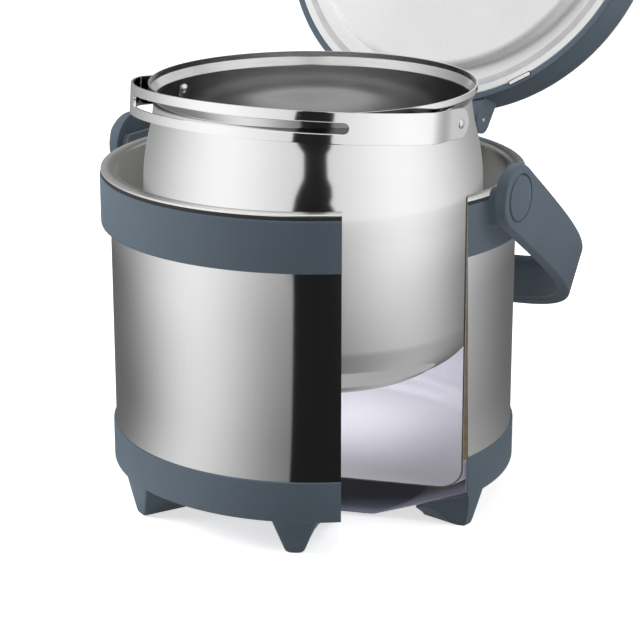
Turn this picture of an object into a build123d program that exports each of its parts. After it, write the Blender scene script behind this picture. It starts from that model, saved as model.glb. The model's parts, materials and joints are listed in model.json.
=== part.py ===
from build123d import *
import math
import os

# Thermal cooker with its body cut open, its pot lifted, its lid up and its carry handle down.
# Millimetres. The origin is on the container's axis, in the plane that its feet stand on.
# +Z is up, the front faces -Y and the lid's hinge is at the rear, at +Y.

os.makedirs("parts", exist_ok=True)

# General fits
overrun = 5.0
seat_gap = 0.3
snug_gap = 0.1
running_gap = 0.05
sheet_steel = 0.8

# Double-walled container
shell_radius = 123.0
shell_low = 22.4
wall_cavity = 2.4
lip_height = 204.0
floor_height = 24.0
floor_corner = 12.0
lip_overhang = 5.2
lip_bead_depth = 1.2
mouth_round = 2.6
lip_root_round = 1.6

# Foil round the inner vessel
foil_thickness = 0.3
foil_low = 42.0
foil_top_gap = 9.0

# Outer bottom, a dished pan under the vacuum
pan_height = 2.0
pan_flat_inset = 47.0
pan_rim_height = 40.0
pan_bend_round = 8.0
seal_hole_radius = 4.0
seal_head_radius = 6.5
seal_head_thickness = 1.6
getter_radius = 12.0
getter_thickness = 4.0
getter_offset = 34.0

# Plastic collar under the lip, hollow inside, with its gasket
collar_proud = 5.8
collar_drop = 34.0
collar_wall = 2.4
collar_bevel = 1.2
gasket_thickness = 2.6

# Plastic base ring with six feet
ring_proud = 1.6
ring_low = 20.4
ring_high = 44.6
ring_edge_round = 1.2
flange_inset = 27.0
flange_height = 8.4
flange_thickness = 2.0
foot_angles = (-135.0, -81.0, -27.0, 27.0, 81.0, 135.0)
foot_top_width = 26.0
foot_tip_width = 10.5
foot_tip_inset = 3.0
foot_depth = 29.0
foot_corner = 2.5

# Opening cut through the container to show its walls, turned from the front
window_turn = 32.0
window_near_side = 16.2
window_near_depth = 61.0
window_far_angle = 48.7
window_flare = 4.2

# Lid hinge at the rear of the collar
hinge_standoff = 4.2
hinge_rise = 7.0
hinge_rod_radius = 1.5
knuckle_radius = 6.0
knuckle_inner = 26.0
knuckle_outer = 38.2
bracket_drop = 13.0
bracket_depth = 20.0
bracket_thickness = 6.5
bracket_round = 3.0

# Lid, drawn shut and then turned open about the hinge
lid_open_angle = 115.0
lid_inset = 0.3
lid_draft = 1.5
lid_side_height = 20.0
lid_height = 40.0
lid_shoulder_round = 15.0
lid_wall = 3.0
lid_rim_width = 4.2
liner_wall = 1.5
liner_plug_clearance = 13.0
liner_plug_depth = 7.4
liner_plug_round = 5.0
seal_reach = 4.0
seal_width = 5.0
seal_thickness = 1.1
foam_gap = 1.6
ear_thickness = 7.5
ear_radius = 9.0
ear_gap = 0.3
ear_root_low = 2.4
ear_root_high = 20.0
ear_root_depth = 8.0

# Carry handle, drawn level and then hung down behind the container
handle_pivot_drop = 4.0
handle_rear_clearance = 35.0
handle_wall = 7.0
handle_squareness = 4.1
handle_end_radius = 19.5
handle_grip_width = 31.0
handle_hang_angle = 34.5
handle_edge_round = 2.0
channel_skin = 3.0
channel_start = 34.0
lug_proud = 4.4
lug_half_width = 15.5
lug_below = 16.0
lug_above = 7.5
lug_round = 5.0
pivot_pin_radius = 4.0
pivot_pin_stop = 1.0
pivot_head_radius = 7.0
pivot_head_thickness = 1.8
pivot_head_gap = 0.4
cap_margin = 5.8
cap_groove = 0.8
cap_depth = 2.6
cap_pride = 0.4

# Pot, drawn lifted above its seat on the container's floor, its heights taken from its rim
pot_lift = 57.7
pot_headroom = 7.7
pot_clearance = 16.2
pot_neck_step = 7.0
pot_rim_step = 2.7
pot_wall = 1.0
pot_corner = 30.0
pot_shoulder_start = 45.4
pot_shoulder_end = 18.4
pot_neck_end = 8.4
pot_flare_end = 3.4
shoulder_round = 26.0
neck_round = 12.0
base_inset = 24.8
base_core_thickness = 2.6
base_cover_round = 2.0

# Bail of flat strip on the pot
bail_drop = 15.0
bail_tilt = 6.0
bail_strip_height = 18.0
bail_strip_wall = 1.5
bail_clearance = 6.7
bail_stand = 5.2
bail_join_angle = 69.4
bail_straight = 12.0
bail_slot_height = 6.5
bail_slot_angle = 42.4
boss_radius = 5.5
rivet_radius = 2.0
rivet_head_radius = 3.0
rivet_head_height = 1.2

# Worked out from the values above
vessel_radius = shell_radius - sheet_steel - wall_cavity - sheet_steel
lip_radius = shell_radius + lip_overhang
lip_low = lip_height - sheet_steel
gasket_radius = lip_radius - sheet_steel - snug_gap
collar_bore = shell_radius + snug_gap
collar_radius = shell_radius + collar_proud
collar_low = lip_height - collar_drop
collar_high = lip_low - gasket_thickness
ring_bore = shell_radius + snug_gap
ring_radius = shell_radius + ring_proud
flange_radius = shell_radius - flange_inset
flange_slope = (ring_low - flange_height) / (ring_radius - flange_radius)
flange_top = flange_height + flange_thickness
foot_tip_radius = ring_radius - foot_tip_inset
foot_inner_radius = foot_tip_radius - foot_depth
pan_flat_radius = shell_radius - pan_flat_inset
pan_flare_height = flange_top + snug_gap
pan_radius = shell_radius - sheet_steel - snug_gap
pan_wall_foot = pan_flare_height + flange_slope * (pan_radius - flange_radius)
hinge_reach = collar_radius + hinge_standoff
hinge_height = lip_height + hinge_rise
bracket_high = hinge_height - bracket_drop
bracket_low = bracket_high - bracket_depth
handle_pivot_height = lip_height - handle_pivot_drop
lug_face = collar_radius + lug_proud
lug_low = handle_pivot_height - lug_below
lug_high = handle_pivot_height + lug_above
pivot_pin_start = collar_radius + pivot_pin_stop
handle_half_width = lug_face + seat_gap + handle_wall
handle_reach = hinge_reach + handle_rear_clearance
cap_radius = handle_end_radius - cap_margin
rim_height = lip_height + seat_gap
lid_radius = collar_radius - lid_inset
lid_top_radius = lid_radius - lid_draft
liner_radius = lid_radius - lid_rim_width
liner_plug_radius = vessel_radius - liner_plug_clearance
seal_inner_radius = vessel_radius - seal_reach
ear_inner = knuckle_outer + ear_gap
ear_outer = ear_inner + ear_thickness
pot_low = floor_height + seat_gap + pot_lift
pot_high = lip_height - pot_headroom + pot_lift
pot_radius = vessel_radius - pot_clearance
pot_neck_radius = pot_radius - pot_neck_step
pot_rim_radius = pot_neck_radius + pot_rim_step
base_radius = pot_radius - base_inset
base_thickness = base_core_thickness + sheet_steel
bail_height = pot_high - bail_drop
bail_end_half_width = pot_neck_radius + bail_stand
bail_inner_face = bail_end_half_width - bail_strip_wall
bail_radius = pot_radius + bail_clearance
all_heights = hinge_height + 2 * hinge_reach


def corner_of(face, corner):
    """The vertex of a flat outline that lies nearest to a point."""
    return face.vertices().sort_by_distance((*corner, 0))[0]


def outline(points, rounds=(), bevels=()):
    """A closed flat outline, with the corners named in rounds or bevels taken off."""
    face = make_face(Polyline(*points, close=True))
    for corner, radius in rounds:
        face = fillet(corner_of(face, corner), radius)
    for corner, length in bevels:
        face = chamfer(corner_of(face, corner), length)
    return face


def turned(face):
    """A solid of revolution about Z, from an outline drawn as radius and height."""
    return revolve(Plane.XZ * face, Axis.Z)


def ring(inner, outer, low, high):
    """A plain ring about Z."""
    return turned(outline([(inner, low), (outer, low), (outer, high), (inner, high)]))


def rod_along_x(radius, start, end, y, z):
    """A round bar along X from start to end."""
    length = end - start
    middle = (start + end) / 2
    return Pos(middle, y, z) * Rot(0, 90, 0) * Cylinder(radius, length)


def both_sides(solid):
    """A solid and its mirror image in the plane X = 0."""
    return solid + mirror(solid, Plane.YZ)


def hull_of_circle(centre, radius, points):
    """A flat outline round a circle and some points to one side of it."""
    disc = Pos(*centre) * Circle(radius)
    return make_hull(disc.edges() + Polyline(*points, close=True).edges())


def plate_along_x(face, start, end):
    """An outline drawn as Y and Z, made solid from X = start to X = end."""
    return extrude(Plane.YZ.offset(start) * face, end - start)


# Opening through the container's walls

def window():
    """The upright block that is taken out of the container's walls."""
    reach = shell_radius + ring_radius
    far_reach = reach * math.tan(math.radians(window_flare))
    far_turn = math.radians(window_far_angle)
    far_side = ring_bore * math.sin(far_turn)
    far_depth = -ring_bore * math.cos(far_turn)
    points = [
        (window_near_side, window_near_depth - shell_radius),
        (window_near_side, -reach),
        (far_side - far_reach, -reach + far_depth),
        (far_side, far_depth),
    ]
    block = extrude(outline(points), all_heights)
    return Pos(0, 0, -overrun) * Rot(0, 0, window_turn) * block


def opened(solid):
    """A container piece with the window cut through it."""
    return solid - window()


# Container

def cup(radius, low, high, corner):
    """The outline of a round cup filled to the brim."""
    points = [(0, low), (radius, low), (radius, high), (0, high)]
    return outline(points, [((radius, low), corner)])


def inner_vessel():
    """The steel vessel that holds the pot, with the lip turned out over the collar."""
    outer_radius = vessel_radius + sheet_steel
    outer = cup(outer_radius, floor_height - sheet_steel, lip_height, floor_corner + sheet_steel)
    lip = outline([
        (vessel_radius, lip_height),
        (lip_radius, lip_height),
        (lip_radius, lip_height - lip_bead_depth),
        (lip_radius - sheet_steel, lip_height - lip_bead_depth),
        (lip_radius - sheet_steel, lip_low),
        (vessel_radius, lip_low),
    ])
    inside = cup(vessel_radius, floor_height, lip_height + overrun, floor_corner)
    wall = outer + lip - inside
    for corner, radius in (
        ((vessel_radius, lip_height), mouth_round),
        ((outer_radius, lip_low), lip_root_round),
    ):
        wall = fillet(corner_of(wall, corner), radius)
    return opened(turned(wall))


def outer_shell():
    """The steel body between the base ring and the lip."""
    return opened(ring(shell_radius - sheet_steel, shell_radius, shell_low, lip_low))


def radiation_foil():
    """The bright foil wrapped round the inner vessel in the vacuum."""
    inner = vessel_radius + sheet_steel + snug_gap / 2
    return opened(ring(inner, inner + foil_thickness, foil_low, lip_height - foil_top_gap))


def outer_bottom():
    """The dished pan that closes the vacuum from below, with the hole for its seal."""
    under = [
        (seal_hole_radius, pan_height),
        (pan_flat_radius, pan_height),
        (flange_radius, pan_flare_height),
        (pan_radius, pan_wall_foot),
        (pan_radius, pan_rim_height),
        (pan_radius - sheet_steel, pan_rim_height),
        (pan_radius - sheet_steel, pan_wall_foot + sheet_steel),
        (flange_radius - sheet_steel / 2, pan_flare_height + sheet_steel),
        (pan_flat_radius - sheet_steel / 2, pan_height + sheet_steel),
        (seal_hole_radius, pan_height + sheet_steel),
    ]
    rounds = [
        ((pan_flat_radius, pan_height), pan_bend_round),
        ((pan_flat_radius - sheet_steel / 2, pan_height + sheet_steel), pan_bend_round - sheet_steel),
    ]
    return opened(turned(outline(under, rounds)))


def vacuum_seal():
    """The button that closes the hole through which the air was drawn out."""
    inside = pan_height + sheet_steel
    stem = Pos(0, 0, pan_height) * Cylinder(
        seal_hole_radius - running_gap, sheet_steel, align=(Align.CENTER, Align.CENTER, Align.MIN)
    )
    head = Pos(0, 0, inside) * Cylinder(
        seal_head_radius, seal_head_thickness, align=(Align.CENTER, Align.CENTER, Align.MIN)
    )
    return stem + head


def getter():
    """The small round pack under the vessel's floor that keeps the vacuum clean."""
    low = floor_height - sheet_steel - getter_thickness
    disc = Cylinder(getter_radius, getter_thickness, align=(Align.CENTER, Align.CENTER, Align.MIN))
    disc = fillet(disc.edges().filter_by(GeomType.CIRCLE).sort_by(Axis.Z)[0], getter_thickness / 4)
    return Pos(0, getter_offset, low) * disc


def handle_lug():
    """The pad on the collar's right side that carries one end of the handle."""
    side = outline(
        [
            (-lug_half_width, lug_low),
            (lug_half_width, lug_low),
            (lug_half_width, lug_high),
            (-lug_half_width, lug_high),
        ],
        [
            ((-lug_half_width, lug_low), lug_round),
            ((lug_half_width, lug_low), lug_round),
            ((lug_half_width, lug_high), lug_round),
            ((-lug_half_width, lug_high), lug_round),
        ],
    )
    pad = plate_along_x(side, shell_radius, lug_face)
    below_lid = Pos(0, 0, lug_low - overrun) * Cylinder(
        collar_radius - collar_wall / 2,
        collar_high - lug_low + overrun,
        align=(Align.CENTER, Align.CENTER, Align.MIN),
    )
    beside_lid = Pos(0, 0, collar_high) * Cylinder(
        lid_radius + 2 * seat_gap,
        lug_high,
        align=(Align.CENTER, Align.CENTER, Align.MIN),
    )
    return pad - below_lid - beside_lid


def pivot_hole(clearance):
    """The bore for the handle's right pivot pin."""
    start = pivot_pin_start - clearance
    return rod_along_x(pivot_pin_radius + clearance, start, lug_face + overrun, 0, handle_pivot_height)


def collar():
    """The hollow plastic band under the lip, with a lug for the handle on each side."""
    outside = outline(
        [
            (collar_bore, collar_low),
            (collar_radius, collar_low),
            (collar_radius, collar_high),
            (collar_bore, collar_high),
        ],
        bevels=[
            ((collar_radius, collar_low), collar_bevel),
            ((collar_radius, collar_high), collar_bevel),
        ],
    )
    hollow = outline([
        (collar_bore, collar_low + collar_wall),
        (collar_radius - collar_wall, collar_low + collar_wall),
        (collar_radius - collar_wall, collar_high - collar_wall),
        (collar_bore, collar_high - collar_wall),
    ])
    band = turned(outside - hollow)
    body = band + both_sides(handle_lug())
    return opened(body) - both_sides(pivot_hole(running_gap))


def lip_gasket():
    """The dark ring between the steel lip and the collar."""
    section = outline([
        (collar_bore, collar_high),
        (lip_radius, collar_high),
        (lip_radius, lip_height - lip_bead_depth),
        (gasket_radius, lip_height - lip_bead_depth),
        (gasket_radius, lip_low),
        (collar_bore, lip_low),
    ])
    return opened(turned(section))


def foot(angle):
    """One foot: a tapered block under the flange, wide at the top and narrow at its tip."""
    slope = (foot_top_width - foot_tip_width) / ring_low / 2
    high = ring_low + flange_thickness
    half_high = foot_tip_width / 2 + slope * high
    face = outline(
        [
            (-foot_tip_width / 2, 0),
            (foot_tip_width / 2, 0),
            (half_high, high),
            (-half_high, high),
        ],
        [
            ((-foot_tip_width / 2, 0), foot_corner),
            ((foot_tip_width / 2, 0), foot_corner),
        ],
    )
    block = extrude(Plane.XZ.offset(foot_inner_radius) * face, ring_radius)
    inner_top = flange_height + flange_slope * (foot_inner_radius - flange_radius) + flange_thickness / 2
    space = turned(outline([
        (foot_inner_radius, 0),
        (foot_tip_radius, 0),
        (ring_radius, ring_low),
        (ring_radius - flange_thickness / 2, ring_low + flange_thickness / 2),
        (foot_inner_radius, inner_top),
    ]))
    return Rot(0, 0, angle) * (block & space)


def base_ring():
    """The plastic ring round the foot of the body, with the flange and feet moulded on."""
    section = outline(
        [
            (ring_radius, ring_low),
            (ring_radius, ring_high),
            (ring_bore, ring_high),
            (ring_bore, flange_top + flange_slope * (ring_bore - flange_radius)),
            (flange_radius, flange_top),
            (flange_radius, flange_height),
        ],
        [((ring_radius, ring_low), ring_edge_round)],
    )
    body = turned(section)
    for angle in foot_angles:
        body = body + foot(angle)
    return opened(body)


def hinge_bracket():
    """The bracket on the collar's rear with the two knuckles that hold the rod."""
    knuckle_side = hull_of_circle(
        (hinge_reach, hinge_height),
        knuckle_radius,
        [
            (hinge_reach - knuckle_radius + bracket_round, bracket_high - bracket_round),
            (hinge_reach + knuckle_radius, bracket_high - bracket_round),
            (hinge_reach + knuckle_radius, bracket_high - 2 * bracket_round),
        ],
    )
    knuckle = plate_along_x(knuckle_side, knuckle_inner, knuckle_outer)
    plate_face = outline([
        (collar_radius - knuckle_radius - overrun, bracket_low),
        (collar_radius + bracket_thickness, bracket_low),
        (hinge_reach + knuckle_radius, bracket_high - 2 * bracket_round),
        (hinge_reach + knuckle_radius, bracket_high - bracket_round),
        (hinge_reach + knuckle_radius - bracket_round, bracket_high),
        (collar_radius - knuckle_radius - overrun, bracket_high),
    ])
    plate = plate_along_x(plate_face, -knuckle_outer, knuckle_outer)
    bore = rod_along_x(hinge_rod_radius + running_gap, -ear_outer, ear_outer, hinge_reach, hinge_height)
    inside = Cylinder(collar_radius + snug_gap / 2, all_heights)
    return plate + both_sides(knuckle) - bore - inside


def hinge_rod():
    """The steel rod through the bracket's knuckles and the lid's ears."""
    half = ear_outer - running_gap
    return rod_along_x(hinge_rod_radius, -half, half, hinge_reach, hinge_height)


def pivot_pins():
    """The two headed steel pins that the carry handle turns on."""
    head_start = handle_half_width - cap_depth - pivot_head_gap / 2 - pivot_head_thickness
    shank = rod_along_x(pivot_pin_radius, pivot_pin_start, head_start, 0, handle_pivot_height)
    head = rod_along_x(
        pivot_head_radius, head_start, head_start + pivot_head_thickness, 0, handle_pivot_height
    )
    return both_sides(shank + head)


# Lid

def lid_opened(solid):
    """A lid piece drawn shut, turned open about the hinge."""
    there = Pos(0, hinge_reach, hinge_height)
    back = Pos(0, -hinge_reach, -hinge_height)
    return there * Rot(-lid_open_angle, 0, 0) * back * solid


def lid_shell(wall):
    """The lid's outer form, made smaller all round by a wall."""
    top = rim_height + lid_height - wall
    side = rim_height + lid_side_height
    points = [
        (0, rim_height),
        (lid_radius - wall, rim_height),
        (lid_top_radius - wall, side),
        (lid_top_radius - wall, top),
        (0, top),
    ]
    return outline(points, [((lid_top_radius - wall, top), lid_shoulder_round)])


def lid_ear():
    """One ear on the lid's rear, with the bore that turns on the rod."""
    root = hinge_reach - ear_radius - ear_root_depth
    side = hull_of_circle(
        (hinge_reach, hinge_height),
        ear_radius,
        [
            (root, rim_height + ear_root_low),
            (root, rim_height + ear_root_high),
            (root + ear_root_low, rim_height + ear_root_high),
        ],
    )
    return plate_along_x(side, ear_inner, ear_outer)


def lid_cover():
    """The plastic outer lid with its rim and its two hinge ears."""
    hollow = lid_shell(lid_wall)
    rim = outline([
        (liner_radius, rim_height),
        (lid_radius - lid_wall / 2, rim_height),
        (lid_radius - lid_wall / 2, rim_height + lid_wall),
        (liner_radius, rim_height + lid_wall),
    ])
    shell = turned(lid_shell(0) - hollow + rim)
    ears = both_sides(lid_ear()) - turned(hollow)
    bore = rod_along_x(
        hinge_rod_radius + running_gap, -ear_outer - overrun, ear_outer + overrun, hinge_reach, hinge_height
    )
    return lid_opened(shell + ears - bore)


def lid_liner():
    """The pale inner face of the lid, with a shallow plug that drops into the mouth."""
    low = rim_height - liner_plug_depth
    section = outline(
        [
            (0, low),
            (liner_plug_radius, low),
            (liner_plug_radius, rim_height),
            (liner_radius - snug_gap, rim_height),
            (liner_radius - snug_gap, rim_height + liner_wall),
            (liner_plug_radius - liner_wall, rim_height + liner_wall),
            (liner_plug_radius - liner_wall, low + liner_wall),
            (0, low + liner_wall),
        ],
        [
            ((liner_plug_radius, low), liner_plug_round),
            ((liner_plug_radius - liner_wall, low + liner_wall), liner_plug_round - liner_wall),
            ((liner_plug_radius, rim_height), liner_wall),
        ],
    )
    groove = ring(
        seal_inner_radius - snug_gap,
        seal_inner_radius + seal_width + snug_gap,
        rim_height - overrun,
        rim_height + seal_thickness,
    )
    return lid_opened(turned(section) - groove)


def lid_seal():
    """The soft ring in the liner's rim that lies over the steel lip."""
    section = outline([
        (seal_inner_radius, rim_height),
        (seal_inner_radius + seal_width, rim_height),
        (seal_inner_radius + seal_width, rim_height + seal_thickness),
        (seal_inner_radius, rim_height + seal_thickness),
    ])
    return lid_opened(turned(section))


def lid_foam():
    """The insulation between the liner and the cover."""
    low = rim_height + liner_wall + snug_gap
    solid = turned(lid_shell(lid_wall + foam_gap)) & ring(0, lid_radius, low, rim_height + lid_height)
    return lid_opened(solid)


# Carry handle

def arch(half_width, reach, squareness):
    """Half of a squared oval, with straight ends that run on past the pivots."""
    steps = 12
    right = []
    for step in range(steps + 1):
        turn = math.pi / 2 * step / steps
        across = half_width * math.cos(turn) ** (2 / squareness)
        along = reach * math.sin(turn) ** (2 / squareness)
        right.append((across, along))
    left = [(-across, along) for across, along in reversed(right[:-1])]
    curve = Spline(*right, *left, tangents=((0, 1), (0, -1)))
    end = -handle_end_radius - overrun
    ends = Polyline((-half_width, 0), (-half_width, end), (half_width, end), (half_width, 0))
    return make_face(curve + ends)


def handle_side(half_end, half_grip, far):
    """The handle seen from the side: a round end that narrows towards the grip."""
    points = [
        (0, half_end),
        (far, half_grip),
        (far, -half_grip),
        (0, -half_end),
    ]
    return outline(points) + Circle(half_end)


def handle_hung(solid):
    """A handle piece drawn level, hung down about the pivots."""
    return Pos(0, 0, handle_pivot_height) * Rot(-handle_hang_angle, 0, 0) * solid


def carry_handle():
    """The broad moulded handle, with a channel along its inner side."""
    inner_half = handle_half_width - handle_wall
    inner_reach = handle_reach - handle_wall
    depth = 2 * handle_end_radius
    band = arch(handle_half_width, handle_reach, handle_squareness) - arch(
        inner_half, inner_reach, handle_squareness
    )
    band = extrude(band, depth, both=True)
    far = handle_reach + overrun
    side = handle_side(handle_end_radius, handle_grip_width / 2, far)
    band = band & plate_along_x(side, -handle_half_width, handle_half_width)
    outer_edges = [edge for edge in band.edges() if edge.length > handle_half_width]
    outer_edges = sorted(outer_edges, key=lambda edge: edge.length)[-2:]
    band = fillet(outer_edges, handle_edge_round)
    band = band - both_sides(handle_bores())
    skin = channel_skin
    channel = arch(handle_half_width - skin, handle_reach - skin, handle_squareness) - arch(
        inner_half - overrun, inner_reach - overrun, handle_squareness
    )
    channel = extrude(channel, depth, both=True)
    channel_side = handle_side(handle_end_radius - skin, handle_grip_width / 2 - skin, far)
    start = Pos(0, channel_start, 0) * Box(
        2 * handle_half_width, far, depth, align=(Align.CENTER, Align.MIN, Align.CENTER)
    )
    channel = channel & plate_along_x(channel_side, -handle_half_width, handle_half_width) & start
    return handle_hung(band - channel)


def handle_bores():
    """The stepped bore in the handle's right end: pin, pin head and cap."""
    inner = handle_half_width - handle_wall
    cap_floor = handle_half_width - cap_depth
    head_floor = cap_floor - pivot_head_thickness - pivot_head_gap
    pin = rod_along_x(pivot_pin_radius + running_gap, inner - overrun, cap_floor, 0, 0)
    head = rod_along_x(pivot_head_radius + pivot_head_gap, head_floor, cap_floor, 0, 0)
    cap = rod_along_x(cap_radius + cap_groove, cap_floor, handle_half_width + overrun, 0, 0)
    return pin + head + cap


def handle_caps():
    """The two round caps over the handle's pivots."""
    start = handle_half_width - cap_depth
    cap = rod_along_x(cap_radius, start, handle_half_width + cap_pride, 0, 0)
    edge = cap.edges().filter_by(GeomType.CIRCLE).sort_by(Axis.X)[-1]
    return handle_hung(both_sides(fillet(edge, cap_pride)))


# Pot

def pot_form(wall):
    """The pot's outline, made smaller by a wall at the sides and the floor."""
    low = pot_low + base_thickness + wall
    shoulder_low = pot_high - pot_shoulder_start
    shoulder_high = pot_high - pot_shoulder_end
    neck_high = pot_high - pot_neck_end
    flare_high = pot_high - pot_flare_end
    points = [
        (0, low),
        (pot_radius - wall, low),
        (pot_radius - wall, shoulder_low),
        (pot_neck_radius - wall, shoulder_high),
        (pot_neck_radius - wall, neck_high),
        (pot_rim_radius - wall, flare_high),
        (pot_rim_radius - wall, pot_high),
        (0, pot_high),
    ]
    rounds = [
        ((pot_radius - wall, low), pot_corner - wall),
        ((pot_radius - wall, shoulder_low), shoulder_round),
        ((pot_neck_radius - wall, shoulder_high), neck_round),
        ((pot_neck_radius - wall, neck_high), pot_wall),
    ]
    return outline(points, rounds)


def rivet_hole(clearance):
    """The bore for the right rivet through the wall, the boss and the bail's end."""
    start = pot_neck_radius / 2
    return rod_along_x(rivet_radius + clearance, start, bail_end_half_width + overrun, 0, bail_height)


def pot_body():
    """The steel pot, with a shoulder drawn in to a neck and a flared rim."""
    wall = pot_form(0) - pot_form(pot_wall)
    return turned(wall) - both_sides(rivet_hole(running_gap))


def pot_base_core():
    """The heat-spreading disc under the pot's floor."""
    radius = base_radius - sheet_steel - snug_gap
    low = pot_low + sheet_steel
    return turned(cup(radius, low, low + base_core_thickness, base_cover_round))


def pot_base_cover():
    """The thin steel dish that covers the disc."""
    low = pot_low
    high = pot_low + base_thickness
    outer = cup(base_radius, low, high, base_cover_round)
    inner = cup(base_radius - sheet_steel, low + sheet_steel, high + overrun, base_cover_round - sheet_steel)
    return turned(outer - inner)


def bail_bosses():
    """The two round bosses on the neck that hold the bail's ends clear of the rim."""
    boss = rod_along_x(boss_radius, pot_neck_radius / 2, bail_inner_face - seat_gap, 0, bail_height)
    boss = boss - turned(pot_form(0)) - rivet_hole(running_gap)
    return both_sides(boss)


def bail_rivets():
    """The two rivets that the bail turns on, with a head inside and outside."""
    inside = pot_neck_radius - pot_wall - snug_gap
    outside = bail_end_half_width + snug_gap
    shank = rod_along_x(rivet_radius, inside - rivet_head_height, outside, 0, bail_height)
    inner_head = rod_along_x(
        rivet_head_radius, inside - 2 * rivet_head_height, inside - rivet_head_height / 2, 0, bail_height
    )
    outer_head = rod_along_x(rivet_head_radius, outside, outside + rivet_head_height, 0, bail_height)
    edge = outer_head.edges().filter_by(GeomType.CIRCLE).sort_by(Axis.X)[-1]
    outer_head = fillet(edge, rivet_head_height / 2)
    return both_sides(shank + inner_head + outer_head)


def bail_plan(end_half_width, radius, tail):
    """The bail from above: straight at the rivets and round in front of the pot."""
    join = math.radians(bail_join_angle)
    meet = (radius * math.sin(join), -radius * math.cos(join))
    lead = (-math.cos(join), -math.sin(join))
    right = Spline((end_half_width, -bail_straight), meet, tangents=((0, -1), lead))
    front = ThreePointArc(meet, (0, -radius), (-meet[0], meet[1]))
    left = Spline(
        (-meet[0], meet[1]), (-end_half_width, -bail_straight), tangents=((lead[0], -lead[1]), (0, 1))
    )
    back = Polyline(
        (-end_half_width, -bail_straight),
        (-end_half_width, tail),
        (end_half_width, tail),
        (end_half_width, -bail_straight),
    )
    return make_face(right + front + left + back)


def bail_slot():
    """The long slot along the bail's front, with round ends."""
    half = bail_slot_height / 2
    depth = 2 * overrun
    section = outline([
        (bail_radius - depth, -half),
        (bail_radius + depth, -half),
        (bail_radius + depth, half),
        (bail_radius - depth, half),
    ])
    sweep = 2 * bail_slot_angle
    band = revolve(Plane.XZ * section, Axis.Z, sweep)
    band = Rot(0, 0, -90 - bail_slot_angle) * band
    end = Pos(0, -bail_radius, 0) * Rot(90, 0, 0) * Cylinder(half, 2 * depth)
    for angle in (-bail_slot_angle, bail_slot_angle):
        band = band + Rot(0, 0, angle) * end
    return band


def pot_bail():
    """The flat strip bail, folded to the front, with round ends and a long slot."""
    half = bail_strip_height / 2
    strip = bail_plan(bail_end_half_width, bail_radius, half) - bail_plan(
        bail_inner_face, bail_radius - bail_strip_wall, half + overrun
    )
    strip = extrude(strip, half, both=True)
    front = bail_radius + overrun
    side = Circle(half) + outline([(0, half), (-front, half), (-front, -half), (0, -half)])
    strip = strip & plate_along_x(side, -bail_radius - overrun, bail_radius + overrun)
    bore = rod_along_x(rivet_radius + running_gap, bail_inner_face - overrun, front, 0, 0)
    strip = strip - bail_slot() - both_sides(bore)
    return Pos(0, 0, bail_height) * Rot(-bail_tilt, 0, 0) * strip


nodes = {
    "inner_vessel": inner_vessel,
    "outer_shell": outer_shell,
    "radiation_foil": radiation_foil,
    "outer_bottom": outer_bottom,
    "vacuum_seal": vacuum_seal,
    "getter": getter,
    "collar": collar,
    "lip_gasket": lip_gasket,
    "base_ring": base_ring,
    "hinge_bracket": hinge_bracket,
    "hinge_rod": hinge_rod,
    "handle_pivot_pins": pivot_pins,
    "lid_cover": lid_cover,
    "lid_liner": lid_liner,
    "lid_seal": lid_seal,
    "lid_foam": lid_foam,
    "carry_handle": carry_handle,
    "handle_caps": handle_caps,
    "pot_body": pot_body,
    "pot_base_core": pot_base_core,
    "pot_base_cover": pot_base_cover,
    "bail_bosses": bail_bosses,
    "bail_rivets": bail_rivets,
    "pot_bail": pot_bail,
}

for name, make in nodes.items():
    export_step(make(), f"parts/{name}.step")
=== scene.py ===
import json
import math
import bmesh
import bpy
from mathutils import Matrix, Vector
from mathutils.geometry import tessellate_polygon

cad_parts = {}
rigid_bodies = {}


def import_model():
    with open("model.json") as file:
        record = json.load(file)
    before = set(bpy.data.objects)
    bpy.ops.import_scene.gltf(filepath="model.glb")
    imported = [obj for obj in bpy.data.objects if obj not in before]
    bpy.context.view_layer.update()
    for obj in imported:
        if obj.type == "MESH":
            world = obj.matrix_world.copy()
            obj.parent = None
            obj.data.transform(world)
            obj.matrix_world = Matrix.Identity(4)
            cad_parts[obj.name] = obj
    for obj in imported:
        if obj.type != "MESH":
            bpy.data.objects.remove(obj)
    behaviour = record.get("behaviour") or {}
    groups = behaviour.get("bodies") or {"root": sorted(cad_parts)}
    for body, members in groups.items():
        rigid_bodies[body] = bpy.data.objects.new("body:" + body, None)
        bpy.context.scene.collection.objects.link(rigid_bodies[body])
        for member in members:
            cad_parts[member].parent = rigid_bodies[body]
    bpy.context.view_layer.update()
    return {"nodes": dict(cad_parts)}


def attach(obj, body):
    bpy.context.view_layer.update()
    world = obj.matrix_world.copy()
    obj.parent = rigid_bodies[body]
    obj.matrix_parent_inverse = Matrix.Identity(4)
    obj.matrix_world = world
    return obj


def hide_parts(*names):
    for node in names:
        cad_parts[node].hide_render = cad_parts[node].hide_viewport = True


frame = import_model()
nodes = frame["nodes"]

# All lengths below are in millimetres and become metres where a mesh is made.
MM = 0.001

# Container
SHELL_R = 123.0
SHEET = 0.8
VESSEL_R = 119.0
LIP_Z = 204.0
LIP_R = 128.2
LIP_LOW = LIP_Z - SHEET
LIP_BEAD = LIP_Z - 1.2
FLOOR_Z = 24.0
FLOOR_CORNER = 12.0
SHELL_LOW = 22.4
COLLAR_R = 128.8
COLLAR_LOW = 170.0
COLLAR_HIGH = 200.6
COLLAR_BORE = 123.1
COLLAR_WALL = 2.4
RING_R = 124.6
RING_LOW = 20.4
RING_HIGH = 44.6
FLANGE_R = 96.0
FLANGE_Z = 8.4
FLANGE_T = 2.0
FLANGE_SLOPE = (RING_LOW - FLANGE_Z) / (RING_R - FLANGE_R)
FOOT_ANGLES = (-135, -81, -27, 27, 81, 135)
FOOT_TIP_HALF = 5.25
FOOT_TOP_HALF = 13.0
FOOT_TOP_Z = 21.4
FOOT_TIP_R = 121.6
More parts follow.
